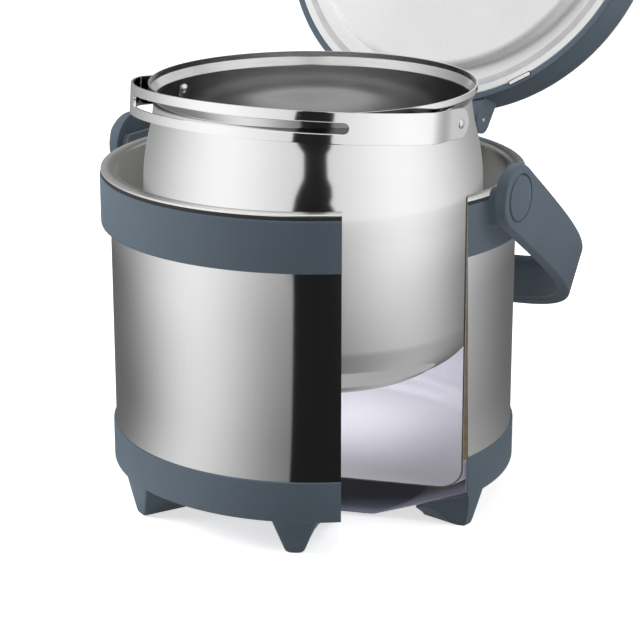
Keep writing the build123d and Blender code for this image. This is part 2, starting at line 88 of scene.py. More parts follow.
FOOT_INNER_R = 92.6
FOOT_CORNER = 2.5
PAN_Z = 2.0
PAN_FLAT_R = 76.0
PAN_R = 122.1
PAN_RIM_Z = 40.0
PAN_HOLE_R = 4.0
LUG_HALF = 15.5
LUG_LOW = 184.0
LUG_HIGH = 207.5
CLIPPED_FOOT = 81

# Opening cut through the container
WINDOW_TURN = math.radians(32)
NEAR_SIDE = 16.2
NEAR_DEPTH = -62.0
FAR_SIDE = 92.48
FAR_DEPTH = -81.25
FLARE = math.radians(4.2)
LEAN = 0.0208
CORNER_R = math.hypot(NEAR_SIDE, NEAR_DEPTH)
WINDOW_REACH = 260.0

# Hinge, lid and carry handle
HINGE_Y = 133.0
HINGE_Z = 211.0
ROD_R = 1.5
ROD_HALF = 46.2
ROD_SOFT = 0.4
BRACKET_IN = 26.0
BRACKET_OUT = 38.2
BRACKET_LOW = 178.0
BRACKET_HIGH = 198.0
BRACKET_ROUND = 3.0
KNUCKLE_R = 6.0
EAR_R = 9.0
EAR_IN = 38.5
EAR_OUT = 46.0
LID_OPEN = math.radians(115)
LID_R = 128.5
LID_TOP_R = 127.0
LID_LOW = 204.3
LID_SIDE = 20.0
LID_H = 40.0
LID_WALL = 3.0
LINER_R = 124.2
PLUG_R = 106.0
PLUG_DEPTH = 7.4
LINER_T = 1.5
SEAL_IN = 115.0
SEAL_OUT = 120.0
SEAL_T = 1.1
RIM_BAR_R = 124.9
RIM_BAR_ANGLE = math.radians(147)
PIVOT_Z = 200.0
HANDLE_A = 140.5
HANDLE_B = 168.0
HANDLE_N = 4.1
HANDLE_WALL = 7.0
HANDLE_END_R = 19.5
HANDLE_GRIP_HALF = 15.5
HANDLE_HANG = math.radians(34.5)
CHANNEL_SKIN = 3.0
CHANNEL_START = 34.0
CAP_R = 13.2
CAP_GROOVE = 1.3
CAP_DEPTH = 2.6

# Pot and bail
POT_LOW = 82.0
POT_R = 102.8
POT_NECK_R = 95.8
POT_RIM_R = 98.5
POT_WALL = 1.0
POT_H = 172.0
SHOULDER_DROP = 45.4
NECK_DROP = 18.4
FLARE_DROP = 8.4
RIM_DROP = 3.4
POT_CORNER = 30.0
POT_SHOULDER_ROUND = 130.0
POT_NECK_ROUND = 70.0
POT_BASE_R = 78.0
POT_BASE_T = 3.4
BAIL_Z = 239.0
BAIL_TILT = math.radians(6)
BAIL_R = 109.5
BAIL_END_X = 101.0
BAIL_T = 1.5
BAIL_HALF = 9.0
BAIL_JOIN = math.radians(69.4)
BAIL_STRAIGHT = 12.0
BOSS_R = 5.5
RIVET_R = 3.0
SHANK_R = 2.0
SLOT_HALF = 3.25
SLOT_ANGLE = math.radians(40.8)
SLOT_FRONT = 60.0
# Numbers of the faces round the strip's section: the slot's edge, and the inner face
SLOT_QUADS = (6, 7, 8)
INNER_QUAD = 5

# Mesh fineness
ROUND = 256
ARC = 8
SMOOTH = math.radians(32)
WELD = 0.0005
TINY = 1e-6


# Flat outlines

def rounded(points, rounds, steps=ARC):
    """A closed outline, where rounds gives the radius of each numbered corner."""
    out = []
    for k, point in enumerate(points):
        here = Vector(point)
        radius = rounds.get(k, 0)
        if not radius:
            out.append(here)
            continue
        before = (Vector(points[k - 1]) - here).normalized()
        after = (Vector(points[(k + 1) % len(points)]) - here).normalized()
        half = before.angle(after) / 2
        centre = here + (before + after).normalized() * radius / math.sin(half)
        reach = radius / math.tan(half)
        first = here + before * reach - centre
        last = here + after * reach - centre
        start = math.atan2(first.y, first.x)
        turn = math.atan2(last.y, last.x) - start
        turn = (turn + math.pi) % math.tau - math.pi
        for step in range(steps + 1):
            angle = start + turn * step / steps
            out.append(centre + radius * Vector((math.cos(angle), math.sin(angle))))
    return out


def box_outline(half, low, high, radius):
    """A rectangle that reaches as far on both sides of zero, with rounded corners."""
    corners = [(-half, low), (half, low), (half, high), (-half, high)]
    return rounded(corners, {k: radius for k in range(4)})


# The cut through the container

def window_angles(radius, z):
    """Where the opening's near and far sides meet a circle, in radians from the front."""
    side = FAR_SIDE - LEAN * z
    if radius <= CORNER_R:
        corner = WINDOW_TURN + math.atan2(NEAR_SIDE, -NEAR_DEPTH)
        return corner, corner
    near = math.asin(NEAR_SIDE / radius)
    if radius < math.hypot(side, FAR_DEPTH):
        dx = side - NEAR_SIDE
        dy = FAR_DEPTH - NEAR_DEPTH
        a = dx * dx + dy * dy
        b = NEAR_SIDE * dx + NEAR_DEPTH * dy
        c = CORNER_R * CORNER_R - radius * radius
        t = (-b + math.sqrt(b * b - a * c)) / a
        far = math.atan2(NEAR_SIDE + t * dx, -(NEAR_DEPTH + t * dy))
    else:
        edge = side * math.cos(FLARE) - FAR_DEPTH * math.sin(FLARE)
        far = math.asin(edge / radius) - FLARE
    return WINDOW_TURN + near, WINDOW_TURN + far


def at(radius, angle, z):
    """A point given by its radius, its angle from the front and its height."""
    return Vector((radius * math.sin(angle), -radius * math.cos(angle), z))


# Meshes

def new_object(name, data):
    """An object in the scene, made from a mesh, a lamp or a camera."""
    obj = bpy.data.objects.new(name, data)
    bpy.context.scene.collection.objects.link(obj)
    return obj


def new_mesh(name, bm):
    """A mesh made from an edit mesh, which is freed."""
    mesh = bpy.data.meshes.new(name)
    bm.to_mesh(mesh)
    bm.free()
    return mesh


def finish_mesh(name, bm, turn=None):
    """An object made from a mesh in millimetres."""
    bmesh.ops.remove_doubles(bm, verts=bm.verts, dist=WELD)
    bmesh.ops.dissolve_degenerate(bm, edges=bm.edges, dist=WELD)
    bmesh.ops.recalc_face_normals(bm, faces=bm.faces)
    if turn is not None:
        bm.transform(turn)
    bm.transform(Matrix.Scale(MM, 4))
    mesh = new_mesh(name, bm)
    mesh.shade_smooth()
    mesh.set_sharp_from_angle(angle=SMOOTH)
    return new_object(name, mesh)


def join_loops(bm, loops):
    """Adds the faces between closed loops of vertices that follow each other."""
    for a, b in zip(loops, loops[1:]):
        for k in range(len(a)):
            m = (k + 1) % len(a)
            bm.faces.new((a[k], a[m], b[m], b[k]))


def add_solid(bm, loops):
    """Adds a solid that runs through closed loops of vertices."""
    join_loops(bm, loops)
    bm.faces.new(loops[0])
    bm.faces.new(loops[-1][::-1])


def join_rows(bm, a, b):
    """Adds the faces between two open rows of vertices."""
    for k in range(len(a) - 1):
        bm.faces.new((a[k], a[k + 1], b[k + 1], b[k]))


def turned_ring(bm, radius, z, cut, count):
    """Vertices round the Z axis, from the opening's far side to its near one where it is cut."""
    near, far = window_angles(radius, z) if cut else (0, 0)
    span = math.tau - (far - near)
    return [bm.verts.new(at(radius, far + span * j / ROUND, z)) for j in range(count)]


def add_turned(bm, loop, cut=False):
    """Adds the solid made by turning a closed outline of radius and height about Z."""
    count = ROUND + 1 if cut else ROUND
    rings = [turned_ring(bm, radius, z, cut, count) for radius, z in loop]
    for k in range(len(loop)):
        m = (k + 1) % len(loop)
        if loop[k][0] < TINY and loop[m][0] < TINY:
            continue
        for j in range(ROUND):
            n = (j + 1) % count
            bm.faces.new((rings[k][j], rings[k][n], rings[m][n], rings[m][j]))
    if cut:
        sawn = bm.faces.layers.float.new("sawn")
        flat = [[Vector((radius, z, 0)) for radius, z in loop]]
        for column in (0, ROUND):
            for triangle in tessellate_polygon(flat):
                bm.faces.new([rings[k][column] for k in triangle])[sawn] = 1.0


def add_sheet_turned(bm, outside, inside, cut=False):
    """Adds a turned wall between two lines of radius and height, its inner face marked; the pot's material
    paints shade there.
    """
    painted = bm.verts.layers.float.new("inside")
    sawn = bm.faces.layers.float.new("sawn")
    lines = []
    for share, line in enumerate((outside, inside)):
        rings = [turned_ring(bm, radius, z, cut, ROUND + 1) for radius, z in line]
        for ring in rings:
            for vert in ring:
                vert[painted] = share
        lines.append(rings)
    for rings in lines:
        for a, b in zip(rings, rings[1:]):
            join_rows(bm, a, b)
    outer, inner = lines
    for k in (0, -1):
        if max(outside[k][0], inside[k][0]) > TINY:
            join_rows(bm, outer[k], inner[k])
    if cut:
        for k in range(len(outer) - 1):
            if min(outside[k][0], outside[k + 1][0]) > CORNER_R - TINY:
                for j in (0, ROUND):
                    quad = (outer[k][j], outer[k + 1][j], inner[k + 1][j], inner[k][j])
                    bm.faces.new(quad)[sawn] = 1.0


def turned(name, loop, cut=False, turn=None):
    """One turned piece."""
    bm = bmesh.new()
    add_turned(bm, loop, cut)
    return finish_mesh(name, bm, turn)


def add_prism(bm, outline, start, end, axis="x"):
    """Adds an outline made solid along X, or along Z, between two places."""
    def place(p, along):
        return Vector((along, p[0], p[1])) if axis == "x" else Vector((p[0], p[1], along))
    low = [bm.verts.new(place(p, start)) for p in outline]
    high = [bm.verts.new(place(p, end)) for p in outline]
    add_solid(bm, (low, high))


def bevelled(obj, width):
    """Takes the sharp edges off an object, by modifier, in millimetres."""
    bevel = obj.modifiers.new("Bevel", "BEVEL")
    bevel.width = width * MM
    bevel.segments = 3
    bevel.limit_method = "ANGLE"
    bevel.angle_limit = math.radians(35)
    bevel.harden_normals = True
    return obj


def cut_by(obj, tool):
    """Takes the tool's volume out of an object and deletes the tool."""
    boolean = obj.modifiers.new("Cut", "BOOLEAN")
    boolean.operation = "DIFFERENCE"
    boolean.solver = "EXACT"
    boolean.object = tool
    bpy.context.view_layer.update()
    seen = obj.evaluated_get(bpy.context.evaluated_depsgraph_get())
    mesh = bpy.data.meshes.new_from_object(seen)
    obj.modifiers.clear()
    obj.data = mesh
    bpy.data.objects.remove(tool)
    mesh.shade_smooth()
    mesh.set_sharp_from_angle(angle=SMOOTH)
    return obj


# Materials

# Noise counts from its low to its high value. A relief's depth is in metres.
NOISE_LOW = 0.3
NOISE_HIGH = 0.7
BRUSHED = (1, 1, 45)
RELIEF = 0.0002


def fed(tree, node, values):
    """A node whose inputs are linked to sockets or given plain values."""
    for name, value in values.items():
        if isinstance(value, bpy.types.NodeSocket):
            tree.links.new(value, node.inputs[name])
        else:
            node.inputs[name].default_value = value
    return node


def new_node(tree, kind, values):
    """A new node whose inputs are fed."""
    return fed(tree, tree.nodes.new(f"ShaderNode{kind}"), values)


def new_material(name):
    """A material with its node tree and shader."""
    material = bpy.data.materials.new(name)
    material.use_nodes = True
    tree = material.node_tree
    return material, tree, tree.nodes["Principled BSDF"]


def own_place(tree):
    """A place in the object's own coordinates."""
    return tree.nodes.new("ShaderNodeTexCoord").outputs["Object"]


def noise(tree, scale, detail, stretch=(1, 1, 1)):
    """Noise in the object's own coordinates, stretched along its axes."""
    mapping = new_node(tree, "Mapping", {"Vector": own_place(tree), "Scale": stretch})
    values = {"Vector": mapping.outputs["Vector"], "Scale": scale, "Detail": detail}
    return new_node(tree, "TexNoise", values).outputs["Fac"]


def mapped(tree, value, start, end, low=0.0, high=1.0):
    """A node that goes from low to high while a value goes from start to end."""
    values = {"Value": value, "From Min": start, "From Max": end, "To Min": low, "To Max": high}
    return new_node(tree, "MapRange", values)


def spread(tree, value, low, high):
    """A noise value mapped to a narrow range."""
    return mapped(tree, value, NOISE_LOW, NOISE_HIGH, low, high).outputs["Result"]


def share_of(tree, value, start, end):
    """A value that rises softly from 0 to 1 while another goes from start to end."""
    node = mapped(tree, value, start, end)
    node.interpolation_type = "SMOOTHSTEP"
    return node.outputs["Result"]


def two_tones(tree, value, dark, light):
    """A colour between two tones, by a noise value."""
    ramp = new_node(tree, "ValToRGB", {"Fac": value})
    first, last = ramp.color_ramp.elements
    first.position = NOISE_LOW
    first.color = (*dark, 1)
    last.position = NOISE_HIGH
    last.color = (*light, 1)
    return ramp.outputs["Color"]


def bump(tree, shader, value, strength, depth=RELIEF):
    """A fine relief from a noise value."""
    relief = new_node(tree, "Bump", {"Height": value, "Strength": strength, "Distance": depth})
    fed(tree, shader, {"Normal": relief.outputs["Normal"]})


def blended(tree, share, first, second):
    """A colour that goes from the first to the second with a share."""
    node = tree.nodes.new("ShaderNodeMix")
    node.data_type = "RGBA"
    for identifier, value in (("Factor_Float", share), ("A_Color", first), ("B_Color", second)):
        socket = next(s for s in node.inputs if s.identifier == identifier)
        tree.links.new(value, socket)
    return next(s for s in node.outputs if s.identifier == "Result_Color")


def painted_share(tree, layer, output="Fac"):
    """What is painted on the mesh under a layer's name."""
    node = tree.nodes.new("ShaderNodeAttribute")
    node.attribute_name = layer
    return node.outputs[output]


def sawn_dark(tree, cloud, colour):
    """The colour, turned dark brown on the cut faces, where the mesh is marked so."""
    brown = two_tones(tree, cloud, (0.13, 0.11, 0.08), (0.20, 0.17, 0.13))
    return blended(tree, painted_share(tree, "sawn"), colour, brown)


def along(tree, way):
    """How far a place on the object lies along a direction, in metres."""
    node = new_node(tree, "VectorMath", {0: own_place(tree), 1: way})
    node.operation = "DOT_PRODUCT"
    return node.outputs["Value"]


def from_axis(tree):
    """How far a place on the object lies from the upright axis, in metres."""
    flat = new_node(tree, "VectorMath", {0: own_place(tree), 1: (1, 1, 0)})
    flat.operation = "MULTIPLY"
    reach = new_node(tree, "VectorMath", {0: flat.outputs["Vector"]})
    reach.operation = "LENGTH"
    return reach.outputs["Value"]


def satin_steel(name, dark, light, rough):
    """Steel brushed round the axis, so that its highlights run up and down."""
    material, tree, shader = new_material(name)
    streaks = noise(tree, 60, 3, BRUSHED)
    cloud = noise(tree, 9, 3)
    tangent = tree.nodes.new("ShaderNodeTangent")
    tangent.direction_type = "RADIAL"
    tangent.axis = "Z"
    fed(tree, shader, {
        "Base Color": sawn_dark(tree, cloud, two_tones(tree, cloud, dark, light)),
        "Roughness": spread(tree, streaks, rough * 0.88, rough * 1.12),
        "Metallic": 1.0,
        "Anisotropic": 0.3,
        "Anisotropic Rotation": 0.25,
        "Tangent": tangent.outputs["Tangent"],
    })
    bump(tree, shader, streaks, 0.01)
    return material


def vessel_metal_with_painted_light(name, rough):
    """Drawn steel, pale and less metallic at the vessel's foot as painted light, dark on the inner wall
    under the mouth as painted shade, and bright on the lip.
    """
    material, tree, shader = new_material(name)
    fine = noise(tree, 420, 3)
    share = share_of(tree, along(tree, (0, 0, 1)), 0.07, 0.16)
    # Painted light: the pale lavender tone of the vessel's foot.
    foot = two_tones(tree, fine, (0.78, 0.77, 0.855), (0.82, 0.81, 0.895))
    # Painted shade: the dark tone of the inner wall under the mouth.
    neck = two_tones(tree, fine, (0.40, 0.395, 0.37), (0.46, 0.455, 0.43))
    lip = two_tones(tree, fine, (0.84, 0.84, 0.83), (0.90, 0.90, 0.89))
    mouth = blended(tree, share_of(tree, from_axis(tree), 0.1222, 0.1262), neck, lip)
    fed(tree, shader, {
        "Base Color": sawn_dark(tree, fine, blended(tree, share, foot, mouth)),
        "Roughness": rough,
        "Metallic": spread(tree, share, 0.15, 0.95),
    })
    return material


def pan_metal_with_painted_shade(name):
    """Dull pressed steel, with painted shade that darkens it towards the back of the gap under the vessel.
    """
    material, tree, shader = new_material(name)
    fine = noise(tree, 420, 3)
    front = two_tones(tree, fine, (0.40, 0.40, 0.56), (0.48, 0.48, 0.64))
    # Painted shade: the near-black tone at the back of the gap.
    back = two_tones(tree, fine, (0.022, 0.028, 0.055), (0.034, 0.040, 0.070))
    depth = along(tree, (-math.sin(WINDOW_TURN), math.cos(WINDOW_TURN), 0))
    fed(tree, shader, {
        "Base Color": blended(tree, share_of(tree, depth, -0.066, -0.038), front, back),
        "Roughness": spread(tree, fine, 0.36, 0.44),
        "Specular IOR Level": 0.1,
    })
    return material


def pot_metal_with_painted_shade(name):
    """Bright drawn steel, rougher inside and darker there by painted shade, where the mesh is marked so."""
    material, tree, shader = new_material(name)
    cloud = noise(tree, 9, 3)
    streaks = noise(tree, 60, 3, BRUSHED)
    share = painted_share(tree, "inside")
    outside = two_tones(tree, cloud, (0.88, 0.88, 0.885), (0.92, 0.92, 0.925))
    # Painted shade: the darker tone of the pot's inside.
    inside = two_tones(tree, streaks, (0.66, 0.66, 0.66), (0.72, 0.72, 0.72))
    fed(tree, shader, {
        "Base Color": blended(tree, share, outside, inside),
        "Roughness": spread(tree, share, 0.10, 0.20),
        "Metallic": 1.0,
    })
    bump(tree, shader, streaks, 0.005)
    return material


def polished_steel(name, dark, light, rough):
    """Bright steel with the faint cloud of handling, and a dark painted shade where the mesh is marked so.
    """
    material, tree, shader = new_material(name)
    cloud = noise(tree, 22, 4)
    bright = two_tones(tree, cloud, dark, light)
    # Painted shade: the dark tone for the bail strip's inner face.
    dull = two_tones(tree, cloud, (0.15, 0.15, 0.155), (0.20, 0.20, 0.205))
    fed(tree, shader, {
        "Base Color": blended(tree, painted_share(tree, "inside"), bright, dull),
        "Roughness": spread(tree, cloud, rough * 0.75, rough * 1.25),
        "Metallic": 1.0,
    })
    return material


def moulded_plastic(name, dark, light, rough, relief=0.08):
    """Moulded plastic with a fine spark-eroded grain."""
    material, tree, shader = new_material(name)
    fine = noise(tree, 900, 3)
    fed(tree, shader, {
        "Base Color": two_tones(tree, noise(tree, 14, 3), dark, light),
        "Roughness": spread(tree, fine, rough * 0.9, rough * 1.1),
        "Specular IOR Level": 0.45,
    })
    bump(tree, shader, fine, relief)
    return material


def plain_rubber(name, dark, light, rough):
    """Rubber with a dull, slightly mottled face."""
    material, tree, shader = new_material(name)
    cloud = noise(tree, 90, 4)
    fed(tree, shader, {
        "Base Color": two_tones(tree, cloud, dark, light),
        "Roughness": spread(tree, cloud, rough * 0.92, rough * 1.08),
    })
    bump(tree, shader, cloud, 0.12)
    return material


def broken_stuff(name, grain, tones, metallic, rough, relief):
    """A broken-up face, such as crumpled foil or the open cells of foam."""
    material, tree, shader = new_material(name)
    bits = noise(tree, *grain)
    colour = two_tones(tree, bits, *tones)
    fed(tree, shader, {"Base Color": colour, "Metallic": metallic, "Roughness": rough})
    bump(tree, shader, bits, *relief)
    return material


LOOKS = {
    "body_steel": (satin_steel, (0.77, 0.77, 0.77), (0.81, 0.81, 0.81), 0.09),
    "vessel_steel": (vessel_metal_with_painted_light, 0.26),
    "pan_steel": (pan_metal_with_painted_shade,),
    "pot_steel": (pot_metal_with_painted_shade,),
    "bail_steel": (polished_steel, (0.92, 0.92, 0.925), (0.96, 0.96, 0.965), 0.08),
    "fitting_steel": (polished_steel, (0.76, 0.76, 0.76), (0.84, 0.84, 0.84), 0.26),
    "base_aluminium": (polished_steel, (0.62, 0.63, 0.64), (0.70, 0.71, 0.72), 0.40),
    "grey_plastic": (moulded_plastic, (0.082, 0.112, 0.143), (0.093, 0.127, 0.161), 0.42),
    "white_plastic": (moulded_plastic, (0.80, 0.80, 0.80), (0.86, 0.86, 0.86), 0.28, 0.02),
    "dark_rubber": (plain_rubber, (0.012, 0.012, 0.014), (0.022, 0.022, 0.025), 0.55),
    "pale_rubber": (plain_rubber, (0.52, 0.52, 0.53), (0.60, 0.60, 0.61), 0.50),
    "foil": (broken_stuff, (160, 5), ((0.28, 0.22, 0.13), (0.46, 0.37, 0.23)), 0.6, 0.38, (0.6, 3 * RELIEF)),
    "foam": (broken_stuff, (420, 4), ((0.62, 0.57, 0.44), (0.82, 0.78, 0.66)), 0.0, 0.95, (0.5, 4 * RELIEF)),
}
MATERIALS = {slot: make(slot, *values) for slot, (make, *values) in LOOKS.items()}


def dressed(obj, slot):
    """Gives an object the material of one of the record's slots."""
    obj.data.materials.clear()
    obj.data.materials.append(MATERIALS[slot])


def placed(obj, body, slot, *replaced):
    """Dresses a piece, puts it on its body and hides the CAD nodes it stands for."""
    dressed(obj, slot)
    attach(obj, body)
    if replaced:
        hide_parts(*replaced)


# Container pieces

def make_inner_vessel():
    """The vessel with its rounded mouth and the lip turned out over the collar."""
    lines = []
    for inset, mouth, edge in ((SHEET, 1.6, 0.3), (0.0, 2.6, 0.9)):
        low = FLOOR_Z - inset
        side = VESSEL_R + inset
        high = LIP_Z - inset
        lip = LIP_R - inset
        points = [(0, low), (CORNER_R, low), (side, low), (side, high), (lip, high), (lip, LIP_BEAD)]
        lines.append(rounded(points, {2: FLOOR_CORNER + inset, 3: mouth, 4: edge}))
    bm = bmesh.new()
    add_sheet_turned(bm, *lines, cut=True)
    return finish_mesh("inner_vessel_wall", bm)


def make_outer_shell():
    """The steel body between the base ring and the lip."""
    inner = SHELL_R - SHEET
    loop = [(inner, SHELL_LOW), (SHELL_R, SHELL_LOW), (SHELL_R, LIP_LOW), (inner, LIP_LOW)]
    return turned("outer_shell_wall", loop, cut=True)


def make_pan():
    """The dished pan under the vacuum."""
    flare_z = FLANGE_Z + FLANGE_T + 0.1
    foot_z = flare_z + FLANGE_SLOPE * (PAN_R - FLANGE_R)
    lines = []
    for inset, bend, rim in ((0.0, 8.0, 2.0), (SHEET, 7.2, 1.6)):
        low = PAN_Z + inset
        side = PAN_R - inset
        points = [
            (PAN_HOLE_R, low), (CORNER_R, low), (PAN_FLAT_R - inset / 2, low),
            (FLANGE_R - inset / 2, flare_z + inset), (side, foot_z + inset), (side, PAN_RIM_Z),
        ]
        lines.append(rounded(points, {2: bend, 3: 1.0, 4: rim}))
    bm = bmesh.new()
    add_sheet_turned(bm, *lines, cut=True)
    return finish_mesh("outer_bottom_pan", bm)


def add_lug(bm, side):
    """Adds the pad that carries one end of the handle."""
    face = HANDLE_A - HANDLE_WALL - 0.3
    middle = (LUG_LOW + LUG_HIGH) / 2
    tall = (LUG_HIGH - LUG_LOW) / 2
    loops = []
    for inset, x in ((0, None), (0, face - 1.0), (0.3, face - 0.3), (1.0, face)):
        loop = []
        for p in box_outline(LUG_HALF, LUG_LOW, LUG_HIGH, 5.0):
            y = p.x * (1 - inset / LUG_HALF)
            z = middle + (p.y - middle) * (1 - inset / tall)
            radius = COLLAR_R - 1.2 if z < COLLAR_HIGH else LID_R + 0.6
            depth = math.sqrt(radius * radius - y * y) if x is None else x
            loop.append(bm.verts.new((side * depth, y, z)))
        loops.append(loop)
    join_loops(bm, loops)
    bm.faces.new(loops[-1])
    bm.faces.new(loops[0][::-1])


def make_collar():
    """The plastic band under the lip, with a lug on each side."""
    low = COLLAR_LOW + COLLAR_WALL
    high = COLLAR_HIGH - COLLAR_WALL
    inner = COLLAR_R - COLLAR_WALL
    points = [
        (COLLAR_BORE, COLLAR_LOW), (COLLAR_R, COLLAR_LOW), (COLLAR_R, COLLAR_HIGH),
        (COLLAR_BORE, COLLAR_HIGH), (COLLAR_BORE, high), (inner, high), (inner, low), (COLLAR_BORE, low),
    ]
    loop = rounded(points, {1: 1.2, 2: 1.3}, steps=5)
    bm = bmesh.new()
    add_turned(bm, loop, cut=True)
    for side in (-1, 1):
        add_lug(bm, side)
    return finish_mesh("collar_band", bm)


def make_gasket():
    """The dark ring between the steel lip and the collar."""
    inner = LIP_R - SHEET - 0.1
    loop = [
        (COLLAR_BORE, COLLAR_HIGH), (LIP_R, COLLAR_HIGH), (LIP_R, LIP_BEAD),
        (inner, LIP_BEAD), (inner, LIP_LOW), (COLLAR_BORE, LIP_LOW),
    ]
    return turned("lip_gasket_ring", loop, cut=True)


def foot_half(z):
    """Half of a foot's width at a height, with its lower corners rounded."""
    half = FOOT_TIP_HALF + (FOOT_TOP_HALF - FOOT_TIP_HALF) * z / RING_LOW
    if z < FOOT_CORNER:
        half -= FOOT_CORNER - math.sqrt(FOOT_CORNER ** 2 - (FOOT_CORNER - z) ** 2)
    return half


def foot_loop(z, inset, pull=0.0):
    """A foot's outline at a height, drawn in by an inset, its top following the flange."""
    half = foot_half(z) - inset
    outer = FOOT_TIP_R + (RING_R - FOOT_TIP_R) * min(z, RING_LOW) / RING_LOW - inset - pull
    inner = FOOT_INNER_R + inset
    top = FLANGE_Z + FLANGE_SLOPE * (FOOT_INNER_R - FLANGE_R) + FLANGE_T / 2
    low = z
    if z > FOOT_CORNER:
        low = FOOT_CORNER + (z - FOOT_CORNER) * (top - FOOT_CORNER) / (FOOT_TOP_Z - FOOT_CORNER)
    points = [(half * share, -outer) for share in (-1, -0.5, 0, 0.5, 1)] + [(half, -inner), (-half, -inner)]
    loop = []
    for p in rounded(points, {0: 1.3, 4: 1.3, 5: 0.9, 6: 0.9}, steps=4):
        share = (-p.y - inner) / (outer - inner)
        bow = outer - math.sqrt(outer * outer - p.x * p.x)
        loop.append(Vector((p.x, p.y + bow * share, low + (z - low) * share)))
    return loop


def add_foot(bm, angle):
    """Adds one foot: a tapered block, wide under the flange and narrow at its tip."""
    turn = Matrix.Rotation(math.radians(angle), 4, "Z")
    rows = [(0.0, 0.9), (0.12, 0.45), (0.42, 0.13), (0.9, 0.0)]
    rows += [(z, 0.0) for z in (1.5, 2.5, 5, 8, 11, 14, 17, RING_LOW)]
    loops = [foot_loop(z, inset) for z, inset in rows]
    loops.append(foot_loop(FOOT_TOP_Z, 0.0, pull=1.0))
    rings = [[bm.verts.new(turn @ p) for p in loop] for loop in loops]
    join_loops(bm, rings)
    bm.faces.new(rings[0][::-1])
    bm.faces.new(rings[-1])


def window_tool():
    """The block that is taken out of the container, for a foot that it clips."""
    front = FAR_DEPTH - WINDOW_REACH
    far = FAR_SIDE - WINDOW_REACH * math.tan(FLARE)
    points = [(NEAR_SIDE, NEAR_DEPTH), (NEAR_SIDE, front), (far, front), (FAR_SIDE, FAR_DEPTH)]
    bm = bmesh.new()
    add_prism(bm, points, -5, 300, axis="z")
    return finish_mesh("window_tool", bm, Matrix.Rotation(WINDOW_TURN, 4, "Z"))


def make_base_ring():
    """The plastic ring round the foot of the body, its flange and its feet."""
    top = FLANGE_Z + FLANGE_T
    inner = SHELL_R + 0.1
    rise = FLANGE_SLOPE * (inner - FLANGE_R)
    points = [
        (inner, FLANGE_Z + rise), (RING_R, RING_LOW), (RING_R, RING_HIGH), (inner, RING_HIGH),
        (inner, top + rise), (FLANGE_R, top), (FLANGE_R, FLANGE_Z),
    ]
    loop = rounded(points, {1: 1.2, 2: 0.5, 5: 0.5, 6: 0.5}, steps=5)
    bm = bmesh.new()
    add_turned(bm, loop, cut=True)
    for angle in FOOT_ANGLES:
        if angle != CLIPPED_FOOT:
            add_foot(bm, angle)
    ring = finish_mesh("base_ring_band", bm)
    bm = bmesh.new()
    add_foot(bm, CLIPPED_FOOT)
    clipped = cut_by(finish_mesh("clipped_foot", bm), window_tool())
    return ring, clipped


def hull_outline(centre, radius, points, steps=40):
    """The outline round a circle and some points beside it."""
    cloud = [Vector(p) for p in points]
    for k in range(steps):
        angle = math.tau * k / steps
        cloud.append(Vector(centre) + radius * Vector((math.cos(angle), math.sin(angle))))
    cloud.sort(key=lambda p: (p.x, p.y))

    def half(order):
        line = []
        for p in order:
            while len(line) > 1 and (line[-1] - line[-2]).cross(p - line[-1]) <= 1e-9:
                line.pop()
            line.append(p)
        return line[:-1]

    return half(cloud) + half(cloud[::-1])


def make_bracket():
    """The hinge bracket: two knuckles and a plate on the collar."""
    back = HINGE_Y + 6.0
    high = BRACKET_HIGH
    under = high - BRACKET_ROUND
    wall = COLLAR_R + 0.05
    points = [(back - 12 + BRACKET_ROUND, under), (back, under), (back, under - BRACKET_ROUND)]
    knuckle = hull_outline((HINGE_Y, HINGE_Z), KNUCKLE_R, points)
    pieces = []
    for side, word in ((-1, "left"), (1, "right")):
        bm = bmesh.new()
        add_prism(bm, knuckle, side * BRACKET_IN, side * BRACKET_OUT)
        pieces.append(bevelled(finish_mesh(f"hinge_knuckle_{word}", bm), 0.6))
    points = [
        (0, BRACKET_LOW), (COLLAR_R + 6.5, BRACKET_LOW), (back, under - BRACKET_ROUND),
        (back, under), (back - BRACKET_ROUND, high), (0, high),
    ]
    profile = rounded(points, {1: 1.5, 2: 1.2, 3: 1.2, 4: 1.2}, steps=4)
    bm = bmesh.new()
    steps = 24
    rows = []
    for k in range(steps + 1):
        x = BRACKET_OUT - 2 * BRACKET_OUT * k / steps
        near = math.sqrt(wall * wall - x * x)
        rows.append([bm.verts.new((x, max(p.x, near), p.y)) for p in profile])
    add_solid(bm, rows)
    pieces.append(bevelled(finish_mesh("hinge_plate", bm), 0.5))
    return pieces


def add_bar(bm, line, y, z, steps=48):
    """Adds a solid turned about a line along X, from places along X and radii."""
    turns = [math.tau * j / steps for j in range(steps)]
    rings = []
    for x, radius in line:
        rings.append([bm.verts.new((x, y + radius * math.cos(t), z + radius * math.sin(t))) for t in turns])
    join_loops(bm, rings)


def make_rod():
    """The hinge's steel rod, with its ends rounded."""
    left = [(-ROD_HALF, 0), (-ROD_HALF, ROD_R - ROD_SOFT), (ROD_SOFT - ROD_HALF, ROD_R)]
    right = [(-x, radius) for x, radius in left[::-1]]
    bm = bmesh.new()
    add_bar(bm, left + right, HINGE_Y, HINGE_Z)
    return finish_mesh("hinge_rod_bar", bm)


# Lid

def lid_turn():
    """The turn that opens the lid about its hinge."""
    there = Matrix.Translation((0, HINGE_Y, HINGE_Z))
    back = Matrix.Translation((0, -HINGE_Y, -HINGE_Z))
    return there @ Matrix.Rotation(-LID_OPEN, 4, "X") @ back


def make_lid_cover():
    """The plastic outer lid with its rim."""
    top = LID_LOW + LID_H
    side = LID_LOW + LID_SIDE
    rim_in = LINER_R + 0.1
    inner = LID_TOP_R - LID_WALL
    points = [
        (0, top), (LID_TOP_R, top), (LID_TOP_R, side), (LID_R, LID_LOW), (rim_in, LID_LOW),
        (rim_in, LID_LOW + LID_WALL), (LID_R - LID_WALL, LID_LOW + LID_WALL), (inner, side),
        (inner, top - LID_WALL), (0, top - LID_WALL),
    ]
    loop = rounded(points, {1: 15.0, 2: 6.0, 3: 0.9, 4: 0.4, 8: 12.0}, steps=12)
    return turned("lid_cover_shell", loop, turn=lid_turn())


